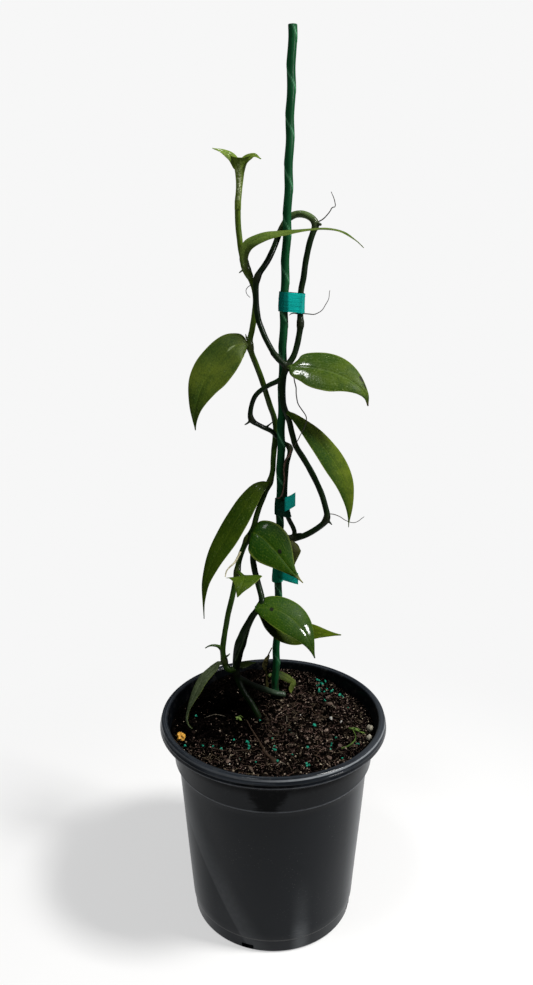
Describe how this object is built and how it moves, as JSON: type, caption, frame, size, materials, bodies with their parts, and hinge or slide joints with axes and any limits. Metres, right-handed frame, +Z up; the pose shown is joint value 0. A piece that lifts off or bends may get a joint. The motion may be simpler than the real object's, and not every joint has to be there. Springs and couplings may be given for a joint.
{
  "type": "vanilla orchid in a pot",
  "caption": "Climbing orchid with thick oval leaves and looping stems, tied to a wrapped stake in a round nursery pot of bark soil.",
  "frame": {"origin": "middle of the pot's underside, which is also the bottom centre of the bounding box", "axes": "+Z up along the pot's axis, +X to the right and -Y towards the viewer of the plant's face"},
  "size_m": [0.165, 0.165, 0.6165],
  "materials": {
    "pot": "thin blow-moulded blue-black plastic, softly glossy",
    "soil": "damp near-black bark and peat mix with red-brown fibres, matt",
    "stake": "deep green plastic cover with spiral seams, satin",
    "tie": "thin teal stretch tape, satin to glossy with fine creases",
    "leaf_green": "thick dark green leaf with a waxy gloss",
    "young_green": "young yellow-green leaf, waxy",
    "stem_green": "fleshy green stem, satin",
    "stem_dark": "old fleshy stem, near-black green, satin",
    "root_pale": "cream air root, matt",
    "root_pink": "pinkish brown air root, matt",
    "withered": "withered olive leaf, matt",
    "dry_brown": "dry brown stub, matt"
  },
  "bodies": {
    "root": {"bract_base": "young_green", "dry_twig": "dry_brown", "leaf_arching": "young_green", "leaf_behind_centre": "leaf_green", "leaf_bottom_left": "leaf_green", "leaf_centre": "leaf_green", "leaf_forward": "leaf_green", "leaf_left": "leaf_green", "leaf_low_behind": "leaf_green", "leaf_low_right": "leaf_green", "leaf_right": "leaf_green", "leaf_upper_left": "leaf_green", "leaf_upper_right": "leaf_green", "leaf_withered": "withered", "leaves_youngest": "young_green", "pot": "pot", "root_pale": "root_pale", "root_pink": "root_pink", "soil": "soil", "stake": "stake", "tie_lower": "tie", "tie_middle": "tie", "tie_upper": "tie", "vine_old": "stem_dark", "vine_young": "stem_green"}
  },
  "joints": []
}
